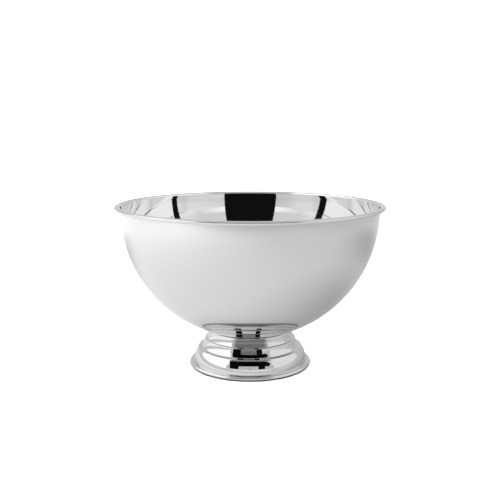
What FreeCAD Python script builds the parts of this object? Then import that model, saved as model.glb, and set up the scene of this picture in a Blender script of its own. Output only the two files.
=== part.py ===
import FreeCAD
import Part
import math
import os

# Footed stainless steel punch bowl, in millimetres.
#
# The origin is the centre of the ring that the foot stands on, +Z is up, and every round piece
# turns about the Z axis.
#
# The bowl is one spun sheet: a small flat pad at the pole, a hemisphere, a short upright wall, and
# a flange whose edge is curled round a wire. The foot is a second spun sheet: a dished seat under
# the bowl, two flared tiers with a ledge under each, a rounded lower tier, and a base edge curled
# round a wire and trued flat. A stud welded under the pad goes through the seat, and a nut inside
# the foot clamps the two sheets together, so that nothing pierces the bowl.

# Overall sizes
RIM_DIAMETER = 385.0
OVERALL_HEIGHT = 236.2
FOOT_DIAMETER = 177.6
GAUGE = 0.8

# Bowl: outer radii of the sphere, the pad at the pole and the knuckle between them
BOWL_RADIUS = 184.5
WALL_HEIGHT = 4.5
PAD_RADIUS = 22.0
PAD_KNUCKLE = 40.0

# Curled edges: a curl's radius is its outer one, a bend's radius is the middle line's
RIM_BEND = 2.8
RIM_CURL = 2.55
RIM_WIRE_DIAMETER = 3.2
BASE_BEND = 1.2
BASE_CURL = 3.45
BASE_WIRE_DIAMETER = 5.0
BASE_FLAT_DEPTH = 0.2
CURL_END = -300.0

# Foot: radii are the middle line's, and a heading is an angle below the horizontal
SEAT_GAP = 0.2
SEAT_HOLE_RADIUS = 6.0
SEAT_REACH = 59.0
SHOULDER_BEND = 1.2
TOP_TIER_DROP = 11.0
TOP_TIER_HEADINGS = (-84.0, -70.0)
TOP_LEDGE = 1.1
MIDDLE_TIER_DROP = 11.0
MIDDLE_TIER_HEADINGS = (-79.0, -62.0)
MIDDLE_LEDGE = 4.0
LOWER_TIER_HEADINGS = (-58.0, -85.0)
LEDGE_HEADING = -9.0
VALLEY_BEND = 1.0
LEDGE_BEND = 1.5

# M8 fixing
STUD_FLANGE_RADIUS = 5.5
STUD_FLANGE_THICKNESS = 0.7
STUD_LENGTH = 16.0
THREAD_RADIUS = 4.0
THREAD_DEPTH = 0.61
THREAD_PITCH = 1.25
THREAD_RUNOUT = 1.5
THREAD_CLEARANCE = 0.06
WASHER_HOLE_RADIUS = 4.2
PLAIN_WASHER_RADIUS = 12.0
PLAIN_WASHER_THICKNESS = 1.6
SPRING_WASHER_RADIUS = 7.1
SPRING_WASHER_THICKNESS = 2.0
SPRING_WASHER_SPLIT = 1.4
SPRING_WASHER_SLANT = 30.0
NUT_ACROSS_FLATS = 13.0
NUT_THICKNESS = 6.5
NUT_CHAMFER_ANGLE = 30.0

# Places worked out from the sizes above
MIDDLE = GAUGE / 2
SPHERE_CENTRE = OVERALL_HEIGHT - MIDDLE - RIM_BEND - WALL_HEIGHT
RIM_CURL_CENTRE = OVERALL_HEIGHT - RIM_CURL
BASE_CURL_CENTRE = BASE_CURL - BASE_FLAT_DEPTH
PAD_UNDERSIDE = (
    SPHERE_CENTRE - PAD_KNUCKLE - math.sqrt((BOWL_RADIUS - PAD_KNUCKLE) ** 2 - PAD_RADIUS**2)
)
SEAT_UNDERSIDE = PAD_UNDERSIDE - GAUGE
STUD_TIP = PAD_UNDERSIDE - STUD_LENGTH
STUD_NECK_TOP = PAD_UNDERSIDE - STUD_FLANGE_THICKNESS
THREAD_TOP = STUD_NECK_TOP - THREAD_RUNOUT
THREAD_ROOT = THREAD_RADIUS - THREAD_DEPTH
SPRING_WASHER_TOP = SEAT_UNDERSIDE - PLAIN_WASHER_THICKNESS
NUT_TOP = SPRING_WASHER_TOP - SPRING_WASHER_THICKNESS
NUT_BOTTOM = NUT_TOP - NUT_THICKNESS

ORIGIN = FreeCAD.Vector(0, 0, 0)
UP = FreeCAD.Vector(0, 0, 1)


def turned(edges):
    """The solid that a closed outline in the half plane sweeps in a full turn about Z."""
    face = Part.Face(Part.Wire(Part.__sortEdges__(edges)))
    return face.revolve(ORIGIN, UP, 360)


def turned_polygon(points):
    """The solid that a closed polygon of (radius, height) points sweeps about Z."""
    corners = [FreeCAD.Vector(radius, 0, height) for radius, height in points]
    followers = corners[1:] + corners[:1]
    return turned([Part.LineSegment(a, b).toShape() for a, b in zip(corners, followers)])


class SheetPath:
    """The middle line of a bent sheet in the half plane: lines and arcs that meet smoothly.

    A heading of 0 runs outwards, 90 runs up and -90 runs down.
    """

    def __init__(self, radius, height):
        self.place = (radius, height)
        self.heading = 0.0
        self.spans = []

    def line(self, length):
        """Runs straight on."""
        angle = math.radians(self.heading)
        start = self.place
        self.place = (start[0] + length * math.cos(angle), start[1] + length * math.sin(angle))
        self.spans.append([(start, self.heading), (self.place, self.heading)])

    def bend(self, radius, heading):
        """Turns to a new heading, to the left where it grows and to the right where it falls."""
        turn = radius if heading > self.heading else -radius
        start = (self.place, self.heading)
        halfway = self._along(turn, (self.heading + heading) / 2)
        end = self._along(turn, heading)
        self.spans.append([start, halfway, end])
        self.place, self.heading = end

    def fall(self, drop, heading):
        """Turns to a new heading on the arc that comes down by that drop."""
        change = math.cos(math.radians(heading)) - math.cos(math.radians(self.heading))
        self.bend(drop / abs(change), heading)

    def solid(self):
        """The sheet turned about Z."""
        sides = [[self._edge(span, offset) for span in self.spans] for offset in (MIDDLE, -MIDDLE)]
        start_cap = [side[0].firstVertex().Point for side in sides]
        end_cap = [side[-1].lastVertex().Point for side in sides]
        caps = [Part.LineSegment(*ends).toShape() for ends in (start_cap, end_cap)]
        return turned(sides[0] + sides[1] + caps)

    def _along(self, turn, heading):
        """The place and heading on the current arc where it has that heading."""
        first, last = math.radians(self.heading), math.radians(heading)
        radius = self.place[0] + turn * (math.sin(last) - math.sin(first))
        height = self.place[1] - turn * (math.cos(last) - math.cos(first))
        return (radius, height), heading

    @staticmethod
    def _edge(span, offset):
        """One span moved sideways, to the left where the offset is positive."""
        points = []
        for (radius, height), heading in span:
            angle = math.radians(heading)
            points.append(
                FreeCAD.Vector(radius - offset * math.sin(angle), 0, height + offset * math.cos(angle))
            )
        curve = Part.LineSegment(*points) if len(points) == 2 else Part.Arc(*points)
        return curve.toShape()


def bowl_shell():
    """Spun bowl: pad, hemisphere, upright wall, flange and curled edge."""
    path = SheetPath(0.0, PAD_UNDERSIDE + MIDDLE)
    path.line(PAD_RADIUS)
    path.bend(PAD_KNUCKLE - MIDDLE, math.degrees(math.asin(PAD_RADIUS / (BOWL_RADIUS - PAD_KNUCKLE))))
    path.bend(BOWL_RADIUS - MIDDLE, 90.0)
    path.line(WALL_HEIGHT)
    path.bend(RIM_BEND, 0.0)
    path.line(RIM_DIAMETER / 2 - RIM_CURL - path.place[0])
    path.bend(RIM_CURL - MIDDLE, CURL_END)
    return path.solid()


def foot_shell():
    """Spun foot: dished seat with its centre hole, shoulder, three tiers and curled base edge."""
    path = SheetPath(SEAT_HOLE_RADIUS, SEAT_UNDERSIDE + MIDDLE)

    # The seat's pad is a little wider than the bowl's, so that its sphere stays clear of the bowl
    seat_radius = BOWL_RADIUS + SEAT_GAP
    knuckle_height = SPHERE_CENTRE - PAD_UNDERSIDE - PAD_KNUCKLE
    pad_radius = math.sqrt((seat_radius - PAD_KNUCKLE) ** 2 - knuckle_height**2)
    path.line(pad_radius - SEAT_HOLE_RADIUS)
    path.bend(PAD_KNUCKLE + MIDDLE, math.degrees(math.asin(pad_radius / (seat_radius - PAD_KNUCKLE))))
    path.bend(seat_radius + MIDDLE, math.degrees(math.asin(SEAT_REACH / (seat_radius + MIDDLE))))

    path.bend(SHOULDER_BEND, TOP_TIER_HEADINGS[0])
    path.fall(TOP_TIER_DROP, TOP_TIER_HEADINGS[1])
    path.bend(VALLEY_BEND, LEDGE_HEADING)
    path.line(TOP_LEDGE)

    path.bend(LEDGE_BEND, MIDDLE_TIER_HEADINGS[0])
    path.fall(MIDDLE_TIER_DROP, MIDDLE_TIER_HEADINGS[1])
    path.bend(VALLEY_BEND, LEDGE_HEADING)
    path.line(MIDDLE_LEDGE)

    path.bend(LEDGE_BEND, LOWER_TIER_HEADINGS[0])
    flange_height = BASE_CURL_CENTRE + BASE_CURL - MIDDLE
    base_bend_drop = BASE_BEND * (1 - math.cos(math.radians(LOWER_TIER_HEADINGS[1])))
    path.fall(path.place[1] - base_bend_drop - flange_height, LOWER_TIER_HEADINGS[1])
    path.bend(BASE_BEND, 0.0)
    path.line(FOOT_DIAMETER / 2 - BASE_CURL - path.place[0])
    path.bend(BASE_CURL - MIDDLE, CURL_END)

    floor = Part.makeCylinder(FOOT_DIAMETER, BASE_CURL, FreeCAD.Vector(0, 0, -BASE_CURL))
    return path.solid().cut(floor)


def rim_wire():
    """Ring of round wire inside the rim's curl."""
    centre = FreeCAD.Vector(0, 0, RIM_CURL_CENTRE)
    return Part.makeTorus(RIM_DIAMETER / 2 - RIM_CURL, RIM_WIRE_DIAMETER / 2, centre)


def base_wire():
    """Ring of round wire inside the base's curl."""
    centre = FreeCAD.Vector(0, 0, BASE_CURL_CENTRE)
    return Part.makeTorus(FOOT_DIAMETER / 2 - BASE_CURL, BASE_WIRE_DIAMETER / 2, centre)


def thread_outline(crest, root, bottom):
    """A thread's zigzag from THREAD_TOP down to about bottom, as (radius, height) points.

    The thread is drawn as separate rings, one to a pitch.
    """
    points = [(root, THREAD_TOP)]
    for turn in range(int((THREAD_TOP - bottom) / THREAD_PITCH)):
        top = THREAD_TOP - turn * THREAD_PITCH
        points += [(crest, top - THREAD_PITCH / 2), (root, top - THREAD_PITCH)]
    return points


def mounting_stud():
    """Weld stud: a flange against the pad, a plain neck, the thread and a chamfered tip."""
    return turned_polygon(
        [
            (0, PAD_UNDERSIDE),
            (STUD_FLANGE_RADIUS, PAD_UNDERSIDE),
            (STUD_FLANGE_RADIUS, STUD_NECK_TOP),
            (THREAD_ROOT, STUD_NECK_TOP),
            *thread_outline(THREAD_RADIUS, THREAD_ROOT, STUD_TIP + THREAD_DEPTH),
            (THREAD_ROOT - THREAD_DEPTH, STUD_TIP),
            (0, STUD_TIP),
        ]
    )


def washer(radius, top, thickness):
    """A flat ring with the washers' common hole."""
    bottom = top - thickness
    hole = WASHER_HOLE_RADIUS
    return turned_polygon([(hole, top), (radius, top), (radius, bottom), (hole, bottom)])


def plain_washer():
    return washer(PLAIN_WASHER_RADIUS, SEAT_UNDERSIDE, PLAIN_WASHER_THICKNESS)


def spring_washer():
    """Split lock washer, closed up flat by the nut, with its slanting split."""
    split_size = (2 * SPRING_WASHER_RADIUS, SPRING_WASHER_SPLIT, 3 * SPRING_WASHER_THICKNESS)
    split = Part.makeBox(*split_size)
    split.translate(FreeCAD.Vector(0, -split_size[1] / 2, -split_size[2] / 2))
    split.rotate(ORIGIN, FreeCAD.Vector(1, 0, 0), SPRING_WASHER_SLANT)
    split.translate(UP * (SPRING_WASHER_TOP - SPRING_WASHER_THICKNESS / 2))
    return washer(SPRING_WASHER_RADIUS, SPRING_WASHER_TOP, SPRING_WASHER_THICKNESS).cut(split)


def hex_nut():
    """Nut with chamfered corners, bored to mesh with the stud's rings."""
    flat = NUT_ACROSS_FLATS / 2
    corner = flat / math.cos(math.radians(30))
    corners = [
        FreeCAD.Vector(corner * math.cos(angle), corner * math.sin(angle), NUT_BOTTOM)
        for angle in [math.radians(60 * side) for side in range(7)]
    ]
    hexagon = Part.Face(Part.makePolygon(corners)).extrude(UP * NUT_THICKNESS)

    fall = (corner - flat) * math.tan(math.radians(NUT_CHAMFER_ANGLE))
    chamfered = turned_polygon(
        [
            (0, NUT_TOP),
            (flat, NUT_TOP),
            (corner, NUT_TOP - fall),
            (corner, NUT_BOTTOM + fall),
            (flat, NUT_BOTTOM),
            (0, NUT_BOTTOM),
        ]
    )

    bore = thread_outline(
        THREAD_RADIUS + THREAD_CLEARANCE, THREAD_ROOT + THREAD_CLEARANCE, NUT_BOTTOM - THREAD_PITCH
    )
    bore = [(0, bore[0][1]), *bore, (0, bore[-1][1])]
    return hexagon.common(chamfered).cut(turned_polygon(bore))


PIECES = (
    bowl_shell,
    rim_wire,
    foot_shell,
    base_wire,
    mounting_stud,
    plain_washer,
    spring_washer,
    hex_nut,
)

os.makedirs("parts", exist_ok=True)
for piece in PIECES:
    shape = piece()
    if not shape.isValid() or len(shape.Solids) != 1:
        raise ValueError(f"{piece.__name__} is not one valid solid")
    shape.exportStep(f"parts/{piece.__name__}.step")
    print(piece.__name__, round(shape.Volume / 1000, 2), "cm3")
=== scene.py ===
import math

import bpy
import numpy as np
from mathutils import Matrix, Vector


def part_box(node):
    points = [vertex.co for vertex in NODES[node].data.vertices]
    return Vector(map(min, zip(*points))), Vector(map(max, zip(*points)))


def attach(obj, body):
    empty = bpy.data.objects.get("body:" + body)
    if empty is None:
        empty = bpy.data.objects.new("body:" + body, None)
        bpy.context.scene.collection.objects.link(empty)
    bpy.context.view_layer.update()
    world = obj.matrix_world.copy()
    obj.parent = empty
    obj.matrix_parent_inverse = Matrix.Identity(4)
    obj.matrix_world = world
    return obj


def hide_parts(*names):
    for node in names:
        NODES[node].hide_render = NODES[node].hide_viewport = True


# Footed stainless steel punch bowl, in metres, with +Z up and the foot's ring on the floor.
#
# The bowl and the foot are turned again here as dense sheets with exact normals, because a polished
# surface shows every facet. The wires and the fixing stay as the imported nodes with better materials.

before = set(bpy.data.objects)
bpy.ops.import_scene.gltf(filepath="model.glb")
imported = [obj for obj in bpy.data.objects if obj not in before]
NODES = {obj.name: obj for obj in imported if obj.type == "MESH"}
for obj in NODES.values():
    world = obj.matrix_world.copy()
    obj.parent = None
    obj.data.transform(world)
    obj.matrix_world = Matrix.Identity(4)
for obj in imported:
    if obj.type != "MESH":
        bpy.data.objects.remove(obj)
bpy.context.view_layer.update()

MM = 0.001

# Sheets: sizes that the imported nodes' boxes don't give
GAUGE = 0.8 * MM
HALF_GAUGE = GAUGE / 2
BOWL_RADIUS = 184.5 * MM
WALL_HEIGHT = 4.5 * MM
PAD_RADIUS = 22.0 * MM
PAD_KNUCKLE = 40.0 * MM
RIM_BEND = 2.8 * MM
RIM_CURL = 2.55 * MM
BASE_BEND = 1.2 * MM
BASE_CURL = 3.45 * MM
BASE_FLAT_DEPTH = 0.2 * MM
CURL_END = -300.0
SEAT_GAP = 0.2 * MM
SEAT_HOLE_RADIUS = 6.0 * MM
SEAT_REACH = 59.0 * MM
SHOULDER_BEND = 1.2 * MM
TIER_DROP = 11.0 * MM
TOP_TIER_HEADINGS = (-84.0, -70.0)
TOP_LEDGE = 1.1 * MM
MIDDLE_TIER_HEADINGS = (-79.0, -62.0)
MIDDLE_LEDGE = 4.0 * MM
LOWER_TIER_HEADINGS = (-58.0, -85.0)
LEDGE_HEADING = -9.0
VALLEY_BEND = 1.0 * MM
LEDGE_BEND = 1.5 * MM

# Sizes read from the frame
RIM_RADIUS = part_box("bowl_shell")[1].x
RIM_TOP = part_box("bowl_shell")[1].z
PAD_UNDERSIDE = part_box("bowl_shell")[0].z
FOOT_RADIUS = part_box("foot_shell")[1].x
SPHERE_CENTRE = RIM_TOP - HALF_GAUGE - RIM_BEND - WALL_HEIGHT

# How finely the sheets are turned: parts in a turn, and degrees to a step along an arc
TURN_PARTS = 360
COARSE_STEP = 3.0
FINE_STEP = 1.0
BEND_STEP = 12.0


class SheetOutline:
    """The cross-section of a bent sheet, sampled along its middle line of lines and tangent arcs.

    A heading of 0 runs outwards, 90 runs up and -90 runs down.
    """

    def __init__(self, radius, height):
        self.samples = [(radius, height, 0.0)]

    def line(self, length):
        """Runs straight on."""
        radius, height, heading = self.samples[-1]
        angle = math.radians(heading)
        self.samples.append((radius + length * math.cos(angle), height + length * math.sin(angle), heading))

    def bend(self, bend_radius, heading, step=BEND_STEP):
        """Turns to a new heading, to the left where it grows and to the right where it falls."""
        radius, height, first = self.samples[-1]
        turn = bend_radius if heading > first else -bend_radius
        parts = max(1, math.ceil(abs(heading - first) / step))
        start = math.radians(first)
        for part in range(1, parts + 1):
            now = first + (heading - first) * part / parts
            angle = math.radians(now)
            self.samples.append(
                (
                    radius + turn * (math.sin(angle) - math.sin(start)),
                    height - turn * (math.cos(angle) - math.cos(start)),
                    now,
                )
            )

    def fall(self, drop, heading, step):
        """Turns to a new heading on the arc that comes down by that drop."""
        first = self.samples[-1][2]
        change = math.cos(math.radians(heading)) - math.cos(math.radians(first))
        self.bend(drop / abs(change), heading, step)

    def side(self, sign):
        """One face of the sheet as (radius, height, normal radius, normal height): left is +1."""
        made = []
        for radius, height, heading in self.samples:
            across = -sign * math.sin(math.radians(heading))
            up = sign * math.cos(math.radians(heading))
            made.append((radius + HALF_GAUGE * across, height + HALF_GAUGE * up, across, up))
        return made

    def spans(self):
        """The closed outline as (start, end, start normal, end normal, side of the sheet)."""
        left, right = self.side(1), self.side(-1)[::-1]
        found = [(a[:2], b[:2], a[2:], b[2:], 0) for a, b in zip(left, left[1:])]
        found.append(flat_span(left[-1], right[0]))
        found += [(a[:2], b[:2], a[2:], b[2:], 1) for a, b in zip(right, right[1:])]
        if self.samples[0][0] > 0:
            found.append(flat_span(right[-1], left[0]))
        return found


def flat_span(start, end):
    """The cut edge of the sheet, square across its thickness."""
    along = (end[0] - start[0], end[1] - start[1])
    length = math.hypot(*along)
    normal = (-along[1] / length, along[0] / length)
    return (start[:2], end[:2], normal, normal, 1)


def trued(spans):
    """The same outline with whatever lies below the floor's height pressed flat onto it."""
    made = []
    for start, end, start_normal, end_normal, side in spans:
        if start[1] < 0 or end[1] < 0:
            start_normal = (0.0, -1.0) if start[1] < 0 else start_normal
            end_normal = (0.0, -1.0) if end[1] < 0 else end_normal
            start = (start[0], max(start[1], 0.0))
            end = (end[0], max(end[1], 0.0))
        made.append((start, end, start_normal, end_normal, side))
    return made


def turned(name, spans, materials):
    """A mesh object turned about Z from an outline, with the outline's own normals."""
    angles = np.arange(TURN_PARTS) * 2 * math.pi / TURN_PARTS
    turn = np.stack([np.cos(angles), np.sin(angles)], axis=1)
    starts = [span[0] for span in spans]
    if spans[0][0][0] == 0:
        starts.append(spans[-1][1])
    points, first_index = [], []
    for radius, height in starts:
        first_index.append(len(points))
        around = turn if radius > 0 else turn[:1]
        points += [(x * radius, y * radius, height) for x, y in around]
    faces, normals, sides = [], [], []
    for row, (_, _, start_normal, end_normal, side) in enumerate(spans):
        after = (row + 1) % len(starts)
        for part in range(TURN_PARTS):
            following = (part + 1) % TURN_PARTS
            here, there = turn[part], turn[following]
            corners = [
                (row, start_normal, part, here),
                (after, end_normal, part, here),
                (after, end_normal, following, there),
                (row, start_normal, following, there),
            ]
            if starts[after][0] == 0:
                del corners[2]
            elif starts[row][0] == 0:
                del corners[3]
            faces.append([first_index[r] + (p if starts[r][0] > 0 else 0) for r, _, p, _ in corners])
            normals += [(n[0] * t[0], n[0] * t[1], n[1]) for _, n, _, t in corners]
            sides.append(side)
    mesh = bpy.data.meshes.new(name)
    mesh.from_pydata(points, [], faces)
    mesh.update()
    for material in materials:
        mesh.materials.append(material)
    mesh.polygons.foreach_set("material_index", sides)
    mesh.polygons.foreach_set("use_smooth", [True] * len(faces))
    mesh.normals_split_custom_set(normals)
    made = bpy.data.objects.new(name, mesh)
    bpy.context.scene.collection.objects.link(made)
    return made


def bowl_spans():
    """The bowl's section from the pole outwards; the rim's curl counts as outside."""
    path = SheetOutline(0.0, PAD_UNDERSIDE + HALF_GAUGE)
    path.line(PAD_RADIUS)
    path.bend(
        PAD_KNUCKLE - HALF_GAUGE,
        math.degrees(math.asin(PAD_RADIUS / (BOWL_RADIUS - PAD_KNUCKLE))),
        COARSE_STEP,
    )
    path.bend(BOWL_RADIUS - HALF_GAUGE, 90.0, FINE_STEP)
    path.line(WALL_HEIGHT)
    path.bend(RIM_BEND, 0.0)
    path.line(RIM_RADIUS - RIM_CURL - path.samples[-1][0])
    path.bend(RIM_CURL - HALF_GAUGE, CURL_END)
    made = []
    for start, end, start_normal, end_normal, side in path.spans():
        made.append((start, end, start_normal, end_normal, 1 if start[0] > BOWL_RADIUS else side))
    return made


def foot_spans():
    """The foot's section: the dished seat, three tiers with ledges between them, and the curled edge."""
    path = SheetOutline(SEAT_HOLE_RADIUS, PAD_UNDERSIDE - HALF_GAUGE)
    seat_radius = BOWL_RADIUS + SEAT_GAP
    knuckle_height = SPHERE_CENTRE - PAD_UNDERSIDE - PAD_KNUCKLE
    pad_radius = math.sqrt((seat_radius - PAD_KNUCKLE) ** 2 - knuckle_height**2)
    path.line(pad_radius - SEAT_HOLE_RADIUS)
    path.bend(
        PAD_KNUCKLE + HALF_GAUGE,
        math.degrees(math.asin(pad_radius / (seat_radius - PAD_KNUCKLE))),
        COARSE_STEP,
    )
    path.bend(
        seat_radius + HALF_GAUGE,
        math.degrees(math.asin(SEAT_REACH / (seat_radius + HALF_GAUGE))),
        COARSE_STEP,
    )

    path.bend(SHOULDER_BEND, TOP_TIER_HEADINGS[0])
    path.fall(TIER_DROP, TOP_TIER_HEADINGS[1], FINE_STEP)
    path.bend(VALLEY_BEND, LEDGE_HEADING)
    path.line(TOP_LEDGE)

    path.bend(LEDGE_BEND, MIDDLE_TIER_HEADINGS[0])
    path.fall(TIER_DROP, MIDDLE_TIER_HEADINGS[1], FINE_STEP)
    path.bend(VALLEY_BEND, LEDGE_HEADING)
    path.line(MIDDLE_LEDGE)

    path.bend(LEDGE_BEND, LOWER_TIER_HEADINGS[0])
    flange_height = 2 * BASE_CURL - BASE_FLAT_DEPTH - HALF_GAUGE
    base_bend_drop = BASE_BEND * (1 - math.cos(math.radians(LOWER_TIER_HEADINGS[1])))
    path.fall(path.samples[-1][1] - base_bend_drop - flange_height, LOWER_TIER_HEADINGS[1], FINE_STEP)
    path.bend(BASE_BEND, 0.0)
    path.line(FOOT_RADIUS - BASE_CURL - path.samples[-1][0])
    path.bend(BASE_CURL - HALF_GAUGE, CURL_END)
    return trued(path.spans())


# Finishes: reflectances, roughnesses, depths of marks and strengths of grain
# The inside and the outside are the same steel; the inside's higher reflectance is painted light that
# brightens the inside of the bowl
INSIDE_PAINTED_BRIGHT_TONE = 0.92
OUTSIDE_SHADE = 0.70
MIRROR_ROUGHNESS = 0.018
SMUDGE_ROUGHNESS = 0.030
SCRATCH_ROUGHNESS = 0.035
PATCH_ROUGHNESS = 0.08
BUFFING_DEPTH = 0.0002 * MM
WAVE_DEPTH = 0.0015 * MM
SPINNING_DEPTH = 0.002 * MM
DIE_LINE_DEPTH = 0.0015 * MM
TOOL_MARK_DEPTH = 0.002 * MM
SPUN_BLUE = 0.985
SPUN_GRAIN = 0.5
WIRE_GRAIN = 0.4

WHITE = (1.0, 1.0, 1.0, 1.0)


class Shader:
    """A material's node tree, with short calls for the nodes that the materials here use."""

    def __init__(self, name):
        self.material = bpy.data.materials.new(name)
        self.material.use_nodes = True
        self.tree = self.material.node_tree
        self.tree.nodes.clear()
        self.output = self.tree.nodes.new("ShaderNodeOutputMaterial")

    def node(self, kind, inputs=None, **settings):
        made = self.tree.nodes.new(kind)
        for key, value in settings.items():
            setattr(made, key, value)
        for key, value in (inputs or {}).items():
            self.put(made.inputs[key], value)
        return made

    def put(self, socket, value):
        if isinstance(value, bpy.types.NodeSocket):
            self.tree.links.new(value, socket)
        else:
            socket.default_value = value

    def math(self, operation, first, second=0.0):
        return self.node("ShaderNodeMath", {0: first, 1: second}, operation=operation).outputs[0]

    def plus(self, first, second):
        return self.math("ADD", first, second)

    def times(self, first, second):
        return self.math("MULTIPLY", first, second)

    def vector(self, x, y, z):
        return self.node("ShaderNodeCombineXYZ", {0: x, 1: y, 2: z}).outputs[0]

    def grey(self, tone):
        return self.vector(tone, tone, tone)

    def point(self):
        """The point on the object, in metres."""
        return self.node("ShaderNodeTexCoord").outputs["Object"]

    def place(self):
        """The point on the object as X, Y and Z sockets."""
        return self.node("ShaderNodeSeparateXYZ", {0: self.point()}).outputs

    def length(self, x, y):
        return self.math("SQRT", self.plus(self.times(x, x), self.times(y, y)))

    def degrees(self, opposite, adjacent):
        """The angle with that opposite and adjacent side."""
        return self.times(self.math("ARCTAN2", opposite, adjacent), 180 / math.pi)

    def ramp(self, value, low, high, start=0.0, end=1.0):
        """Goes smoothly from start to end as value goes from low to high."""
        inputs = {"Value": value, "From Min": low, "From Max": high, "To Min": start, "To Max": end}
        return self.node("ShaderNodeMapRange", inputs, interpolation_type="SMOOTHSTEP").outputs[0]

    def band(self, value, rise, fall):
        """1 between the rise and the fall, each a pair of values to change smoothly over, and 0 outside."""
        return self.times(self.ramp(value, *rise), self.ramp(value, *fall, start=1.0, end=0.0))

    def noise(self, vector, scale, detail):
        inputs = {"Vector": vector, "Scale": scale, "Detail": detail}
        return self.node("ShaderNodeTexNoise", inputs).outputs["Fac"]

    def finish(self, shader_node):
        """Makes that shader the material's surface."""
        self.put(self.output.inputs["Surface"], shader_node.outputs[0])
        return self.material

    def finish_light(self, strength):
        """Makes the surface glow, seen only by the rays that meet it."""
        self.material.cycles.emission_sampling = "NONE"
        return self.finish(self.node("ShaderNodeEmission", {"Color": WHITE, "Strength": strength}))

    def finish_steel(self, colour, rough, height, grain=0.0):
        """Makes the surface bare metal; the grain runs round the turning axis."""
        bump = self.node("ShaderNodeBump", {"Strength": 1.0, "Distance": 1.0, "Height": height})
        inputs = {"Base Color": colour, "Metallic": 1.0, "Roughness": rough, "Normal": bump.outputs[0]}
        if grain:
            inputs["Anisotropic"] = grain
            inputs["Tangent"] = self.node("ShaderNodeTangent", direction_type="RADIAL", axis="Z").outputs[0]
        return self.finish(self.node("ShaderNodeBsdfPrincipled", inputs))


def sheet_marks(shader, stretch, scale, detail):
    """Noise drawn out round the axis on a spun sheet; a smaller stretch gives longer marks."""
    x, y, z = shader.place()
    slope = shader.math("ARCTAN2", shader.length(x, y), shader.math("SUBTRACT", SPHERE_CENTRE, z))
    turn = shader.times(shader.math("ARCTAN2", y, x), stretch)
    return shader.noise(shader.vector(turn, shader.times(slope, BOWL_RADIUS), 0.0), scale, detail)


def lathe_marks(shader, stretch, scale, detail):
    """The same on a solid piece, where the marks also change with height."""
    x, y, z = shader.place()
    turn = shader.times(shader.math("ARCTAN2", y, x), stretch)
    return shader.noise(shader.vector(turn, shader.length(x, y), z), scale, detail)


def polished_steel(name, shade):
    """Mirror-polished stainless steel: faint buffing rings, hairline scratches and wiped smudges."""
    shader = Shader(name)
    rings = sheet_marks(shader, stretch=0.002, scale=1400.0, detail=4.0)
    scratches = sheet_marks(shader, stretch=0.6, scale=420.0, detail=2.0)
    scratches = shader.ramp(scratches, low=0.68, high=0.74)
    smudges = shader.ramp(shader.noise(shader.point(), scale=9.0, detail=5.0), low=0.45, high=0.75)
    waves = shader.noise(shader.point(), scale=22.0, detail=1.0)
    rough = shader.plus(MIRROR_ROUGHNESS, shader.times(smudges, SMUDGE_ROUGHNESS))
    rough = shader.plus(rough, shader.times(scratches, SCRATCH_ROUGHNESS))
    height = shader.plus(shader.times(rings, BUFFING_DEPTH), shader.times(waves, WAVE_DEPTH))
    return shader.finish_steel((shade, shade, shade, 1.0), rough, height)


def spun_inside():
    """The foot's inner side as it left the chuck: spinning rings, a satin grain and dull patches."""
    shader = Shader("spun_foot_inside")
    rings = sheet_marks(shader, stretch=0.002, scale=900.0, detail=3.0)
    dull = shader.ramp(shader.noise(shader.point(), scale=14.0, detail=4.0), low=0.35, high=0.7)
    rough = shader.ramp(rings, low=0.3, high=0.7, start=0.22, end=0.32)
    rough = shader.plus(rough, shader.times(dull, PATCH_ROUGHNESS))
    tone = shader.ramp(dull, low=0.0, high=1.0, start=0.66, end=0.56)
    colour = shader.vector(tone, tone, shader.times(tone, SPUN_BLUE))
    return shader.finish_steel(colour, rough, shader.times(rings, SPINNING_DEPTH), SPUN_GRAIN)


def drawn_wire():
    """Drawn steel wire: fine die lines along its length and a slight bloom."""
    shader = Shader("drawn_wire")
    lines = lathe_marks(shader, stretch=0.01, scale=2600.0, detail=2.0)
    bloom = shader.ramp(shader.noise(shader.point(), scale=30.0, detail=3.0), low=0.4, high=0.7)
    rough = shader.ramp(lines, low=0.3, high=0.7, start=0.16, end=0.26)
    rough = shader.plus(rough, shader.times(bloom, PATCH_ROUGHNESS))
    tone = shader.ramp(bloom, low=0.0, high=1.0, start=0.62, end=0.52)
    return shader.finish_steel(shader.grey(tone), rough, shader.times(lines, DIE_LINE_DEPTH), WIRE_GRAIN)


def machined_fixing():
    """Turned and stamped stainless hardware: tool marks round the axis and a fine tumbled texture."""
    shader = Shader("machined_fixing")
    marks = lathe_marks(shader, stretch=0.001, scale=2200.0, detail=3.0)
    tumbled = shader.noise(shader.point(), scale=1500.0, detail=4.0)
    rough = shader.ramp(tumbled, low=0.3, high=0.7, start=0.20, end=0.34)
    tone = shader.ramp(tumbled, low=0.3, high=0.7, start=0.52, end=0.62)
    height = shader.times(shader.plus(marks, tumbled), TOOL_MARK_DEPTH)
    return shader.finish_steel(shader.grey(tone), rough, height)


def glow(name, strength):
    """Light of one strength all over, for a card."""
    return Shader(name).finish_light(strength)


# The same polished steel twice: the inside copy is painted brighter to carry more light inside the bowl
BRIGHTENED_INSIDE_STEEL = polished_steel("inside_steel_painted_bright", INSIDE_PAINTED_BRIGHT_TONE)
POLISHED_OUTSIDE = polished_steel("polished_outside_steel", OUTSIDE_SHADE)
WIRE = drawn_wire()
FIXING = machined_fixing()

bowl = turned("bowl_sheet", bowl_spans(), [BRIGHTENED_INSIDE_STEEL, POLISHED_OUTSIDE])
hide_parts("bowl_shell")
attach(bowl, "root")

foot = turned("foot_sheet", foot_spans(), [POLISHED_OUTSIDE, spun_inside()])
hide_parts("foot_shell")
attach(foot, "root")

for node, material in (
    ("rim_wire", WIRE),
    ("base_wire", WIRE),
    ("mounting_stud", FIXING),
    ("plain_washer", FIXING),
    ("spring_washer", FIXING),
    ("hex_nut", FIXING),
):
    NODES[node].data.materials.clear()
    NODES[node].data.materials.append(material)


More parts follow.
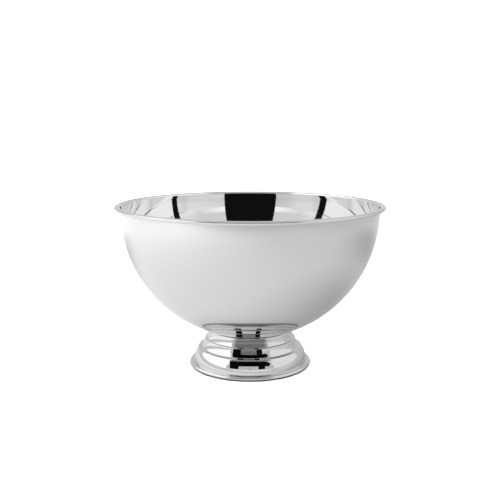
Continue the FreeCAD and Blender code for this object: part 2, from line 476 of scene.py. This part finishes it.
# Studio: the camera sees a white floor in a white room; the steel sees a table, a light tent and cards.
FLOOR_HALF = 12.0
ROOM_LIGHT = 3.0
TABLE_HEIGHT = -0.0005
TENT_RADIUS = 6.0
TENT_TILTS = (-5.0, 90.0)
TENT_AROUND = 96
TENT_ROWS = 24

# Brightness of the table by place: from and to in metres, and the brightness or its factor at each
TABLE_ACROSS = (-1.1, 0.45, 1.31, 0.81)
TABLE_FAR_RIGHT = (0.45, 1.6, 1.0, 0.86)
TABLE_FAR_LEFT = (-2.3, -1.4, 0.84, 1.0)
TABLE_IN_FRONT = (-1.9, -0.7, 0.80, 1.0)
FOOT_SHADE = (0.0885, 0.0960, 0.10, 1.0)
LIGHT_IN_FOOT = (0.0820, 0.0860, 0.85, 0.0)

# Soft shades on the table: centre X, centre Y, reach and how much is lost
TABLE_SHADES = (
    (0.0, 0.0, 0.14, 0.55),
    (0.15, 0.0, 0.30, 0.34),
    (0.60, 0.35, 0.70, 0.34),
    (0.05, 0.14, 0.34, 0.26),
    (-0.35, 0.60, 0.55, 0.40),
    (-0.75, -1.80, 1.30, 0.20),
)

# Brightness of the tent in the same way, by degrees from the front or of tilt above the floor
TENT_ASIDE = (50.0, 62.0, 0.66, 0.75)
TENT_BEHIND = (80.0, 150.0, 0.0, -0.07)
TENT_ROOF = (60.0, 75.0, 1.0, 0.85)
HORIZON = (24.0, 55.0, 0.30, 0.06)
HORIZON_TILTS = ((3.0, 5.0), (9.5, 12.0))
SOFTBOX_TILTS = ((16.0, 24.0), (48.0, 56.0))

# Two lights and a shade on the tent: the turns over which each comes and goes, and how much it adds
KEY_LIGHT = ((-135.0, -120.0), (-50.0, -44.0), 0.80)
FILL_LIGHT = ((44.0, 50.0), (120.0, 135.0), 0.30)
REAR_SHADE = ((85.0, 110.0), (150.0, 165.0), -0.09)

# Cards close round the foot stand on a leaning cone that the bowl's outside doesn't show from the camera;
# they paint dark reflections onto the foot
NEAR_RADIUS = 0.094
NEAR_HEIGHT = 0.022
NEAR_LEAN = 0.36
NEAR_PARTS = 12
NET_JOIN = 0.0475

# How much light the black net lets through: from and to in degrees aside, and the share at each
NET_PASSES = (24.0, 36.0, 0.30, 1.0)

# Side lights slope beside the foot: radius and height of their outer and inner edges, degrees to a part
SIDE_LIGHT_OUTER = (0.90, 0.145)
SIDE_LIGHT_INNER = (0.50, 0.246)
SIDE_LIGHT_STEP = 4.0
LEFT_LIGHT = 1.40
RIGHT_LIGHT = 0.98

DARK_CARD_LIGHT = 0.005
# How far to each side hang the two dark cards inside the bowl that paint the stripes into its reflections
STRIPE_CARD_OFFSET = 0.035
FIGURE_BACK = -3.0
LENS_RADIUS = 0.018
LENS_BACK = -0.75
LENS_HEIGHT = 0.178
LENS_SIDES = 12


def staged(name, points, faces, material, seen_by_camera=False):
    """Part of the studio: seen by the camera alone, or by the steel alone."""
    mesh = bpy.data.meshes.new(name)
    mesh.from_pydata(points, [], faces)
    mesh.materials.append(material)
    made = bpy.data.objects.new(name, mesh)
    bpy.context.scene.collection.objects.link(made)
    made.visible_camera = seen_by_camera
    made.visible_diffuse = seen_by_camera
    made.visible_shadow = seen_by_camera
    made.visible_glossy = not seen_by_camera
    made.visible_transmission = seen_by_camera


def square(half, height):
    return [(-half, -half, height), (half, -half, height), (half, half, height), (-half, half, height)]


def from_front(radius, turn, height):
    """A point at that turn from the front, in degrees, positive to the right."""
    return (radius * math.sin(math.radians(turn)), -radius * math.cos(math.radians(turn)), height)


def pale_floor():
    """The white floor, which lets the camera through from below so that the underside can be seen."""
    shader = Shader("pale_floor")
    tone = shader.ramp(shader.noise(shader.point(), scale=3.0, detail=3.0), 0.3, 0.7, start=0.90, end=0.92)
    paint = shader.node("ShaderNodeBsdfDiffuse", {"Color": shader.grey(tone)})
    clear = shader.node("ShaderNodeBsdfTransparent")
    below = shader.node("ShaderNodeNewGeometry").outputs["Backfacing"]
    mixed = shader.node("ShaderNodeMixShader", {0: below, 1: paint.outputs[0], 2: clear.outputs[0]})
    staged("pale_floor", square(FLOOR_HALF, 0.0), [(0, 1, 2, 3)], shader.finish(mixed), seen_by_camera=True)


def table_in_the_steel():
    """The table as the steel sees it, a glowing sheet with painted light and shade: brighter to the left,
    with painted soft shadows, a painted shadow ring at the foot and painted light inside the foot.
    """
    shader = Shader("table_in_the_steel")
    x, y, _ = shader.place()
    level = shader.ramp(x, *TABLE_ACROSS)
    level = shader.times(level, shader.ramp(x, *TABLE_FAR_RIGHT))
    level = shader.times(level, shader.ramp(x, *TABLE_FAR_LEFT))
    level = shader.times(level, shader.ramp(y, *TABLE_IN_FRONT))
    for centre_x, centre_y, reach, loss in TABLE_SHADES:
        away = shader.length(shader.math("SUBTRACT", x, centre_x), shader.math("SUBTRACT", y, centre_y))
        level = shader.times(level, shader.ramp(away, 0.0, reach, start=1.0 - loss))
    from_axis = shader.length(x, y)
    level = shader.times(level, shader.ramp(from_axis, *FOOT_SHADE))
    level = shader.plus(level, shader.ramp(from_axis, *LIGHT_IN_FOOT))
    material = shader.finish_light(level)
    staged("table_in_the_steel", square(TENT_RADIUS, TABLE_HEIGHT), [(0, 1, 2, 3)], material)


def tent_light():
    """The tent's brightness: greyer in front and behind, a key light on the left, a fill on the right."""
    shader = Shader("light_tent")
    x, y, z = shader.place()
    turn = shader.degrees(x, shader.times(y, -1.0))
    tilt = shader.degrees(z, shader.length(x, y))
    aside = shader.math("ABSOLUTE", turn)
    softbox = shader.band(tilt, *SOFTBOX_TILTS)
    horizon = shader.times(shader.ramp(aside, *HORIZON), shader.band(tilt, *HORIZON_TILTS))
    level = shader.plus(shader.ramp(aside, *TENT_ASIDE), shader.ramp(aside, *TENT_BEHIND))
    for (comes, goes, change), where in ((REAR_SHADE, 1.0), (KEY_LIGHT, softbox), (FILL_LIGHT, softbox)):
        patch = shader.times(shader.band(turn, comes, goes), where)
        level = shader.plus(level, shader.times(patch, change))
    level = shader.times(shader.plus(level, horizon), shader.ramp(tilt, *TENT_ROOF))
    return shader.finish_light(level)


def light_tent():
    """The tent itself: a dome over the table from just below the floor."""
    points, faces = [], []
    lowest, highest = TENT_TILTS
    for row in range(TENT_ROWS + 1):
        tilt = math.radians(lowest + (highest - lowest) * row / TENT_ROWS)
        for part in range(TENT_AROUND):
            turn = 360 * part / TENT_AROUND
            points.append(from_front(TENT_RADIUS * math.cos(tilt), turn, TENT_RADIUS * math.sin(tilt)))
    for row in range(TENT_ROWS):
        here, above = row * TENT_AROUND, (row + 1) * TENT_AROUND
        for part in range(TENT_AROUND):
            following = (part + 1) % TENT_AROUND
            faces.append((here + part, here + following, above + following, above + part))
    staged("light_tent", points, faces, tent_light())


def upright_card(name, material, outline, back=None, across=None):
    """An upright card in a plane of one Y, or of one X, from its corners in that plane."""
    if back is None:
        points = [(across, run, height) for run, height in outline]
    else:
        points = [(run, back, height) for run, height in outline]
    staged(name, points, [tuple(range(len(points)))], material)


def ring_card(name, material, parts, low, high):
    """A card bent round the axis between two edges, each with its radius, height and two turns."""
    points = []
    for part in range(parts + 1):
        for radius, height, first, last in (low, high):
            points.append(from_front(radius, first + (last - first) * part / parts, height))
    faces = [(2 * part, 2 * part + 2, 2 * part + 3, 2 * part + 1) for part in range(parts)]
    staged(name, points, faces, material)


def near_card(name, material, low, high):
    """A card close round the foot between two edges, each with its height and two turns."""
    edges = []
    for height, first, last in (low, high):
        edges.append((NEAR_RADIUS + NEAR_LEAN * (height - NEAR_HEIGHT), height, first, last))
    ring_card(name, material, NEAR_PARTS, *edges)


def side_light(name, strength, first, last):
    """A low sloping light beside the foot between two turns."""
    parts = math.ceil((last - first) / SIDE_LIGHT_STEP)
    outer = (*SIDE_LIGHT_OUTER, first, last)
    inner = (*SIDE_LIGHT_INNER, first, last)
    ring_card(name, glow(name, strength), parts, outer, inner)


def black_net():
    """A black net: it dims what the steel sees through it, less towards its left and right edges, as painted
    shade in the foot's reflections.
    """
    shader = Shader("black_net")
    x, y, _ = shader.place()
    aside = shader.degrees(shader.math("ABSOLUTE", x), shader.times(y, -1.0))
    passed = shader.ramp(aside, *NET_PASSES)
    return shader.finish(shader.node("ShaderNodeBsdfTransparent", {"Color": shader.grey(passed)}))


def lens_outline():
    """The corners of the round lens."""
    corners = []
    for side in range(LENS_SIDES):
        turn = 2 * math.pi * side / LENS_SIDES
        corners.append((LENS_RADIUS * math.cos(turn), LENS_HEIGHT + LENS_RADIUS * math.sin(turn)))
    return corners


pale_floor()
table_in_the_steel()
light_tent()

DARK = glow("dark_card", DARK_CARD_LIGHT)
BLACK_NET = black_net()

# What the inside of the bowl shows, painted as reflections of dark cards hung inside the bowl: a dark block
# in the middle and a narrow stripe to each side
upright_card(
    "painted_dark_block",
    DARK,
    [(-0.0418, 0.206), (0.0408, 0.206), (0.0382, 0.250), (-0.0362, 0.250)],
    back=0.0,
)
upright_card(
    "painted_stripe_right",
    DARK,
    [(0.0946, 0.2105), (0.1054, 0.2105), (0.0949, 0.2242), (0.0857, 0.2242)],
    across=-STRIPE_CARD_OFFSET,
)
upright_card(
    "painted_stripe_left",
    DARK,
    [(0.0992, 0.2105), (0.1076, 0.2105), (0.1026, 0.2225), (0.0938, 0.2225)],
    across=STRIPE_CARD_OFFSET,
)

# What the foot shows: a wide dark shape far off, two dark cards and a net close to it, and a small lens; the
# cards and the net close to the foot paint dark reflections onto it
upright_card(
    "figure_top",
    DARK,
    [
        (-2.4, 1.35),
        (2.4, 1.35),
        (2.9, 1.9),
        (2.9, 2.4),
        (2.4, 2.9),
        (0.8, 2.7),
        (-0.8, 2.7),
        (-2.4, 2.9),
        (-2.9, 2.4),
        (-2.9, 1.9),
    ],
    back=FIGURE_BACK,
)
near_card("blob_left", DARK, (0.018, -23.0, -13.0), (NET_JOIN, -29.0, -15.0))
near_card("blob_right", DARK, (0.018, 9.5, 17.0), (NET_JOIN, 10.5, 20.0))
near_card("net_middle", BLACK_NET, (0.030, -14.0, 10.0), (NET_JOIN, -15.0, 10.5))
near_card("net_top", BLACK_NET, (NET_JOIN, -36.0, 36.0), (0.061, -36.0, 36.0))
upright_card("lens", DARK, lens_outline(), back=LENS_BACK)

# Low side lights for the foot
side_light("low_light_left", LEFT_LIGHT, -118.0, -47.0)
side_light("low_light_right", RIGHT_LIGHT, 47.0, 112.0)

world = bpy.data.worlds.new("white_room")
world.use_nodes = True
room = world.node_tree.nodes["Background"]
room.inputs["Color"].default_value = WHITE
room.inputs["Strength"].default_value = ROOM_LIGHT
bpy.context.scene.world = world

# Camera
CAMERA_DISTANCE = 1.06007
CAMERA_HEIGHT = 0.35491
CAMERA_TILT = 0.177
CAMERA_LENS = 53.352
CAMERA_SENSOR = 36.0
CAMERA_SHIFT = (-0.0002, 0.0037)
CAMERA_NEAR = 0.05
CAMERA_FAR = 50.0
MIRROR_BOUNCES = 16

camera = bpy.data.objects.new("camera", bpy.data.cameras.new("camera"))
bpy.context.scene.collection.objects.link(camera)
camera.location = (0.0, -CAMERA_DISTANCE, CAMERA_HEIGHT)
camera.rotation_euler = (math.pi / 2 - CAMERA_TILT, 0.0, 0.0)
camera.data.sensor_width = CAMERA_SENSOR
camera.data.lens = CAMERA_LENS
camera.data.shift_x, camera.data.shift_y = CAMERA_SHIFT
camera.data.clip_start = CAMERA_NEAR
camera.data.clip_end = CAMERA_FAR
bpy.context.scene.camera = camera

bpy.context.scene.view_settings.view_transform = "Standard"
bpy.context.scene.cycles.max_bounces = MIRROR_BOUNCES
bpy.context.scene.cycles.glossy_bounces = MIRROR_BOUNCES
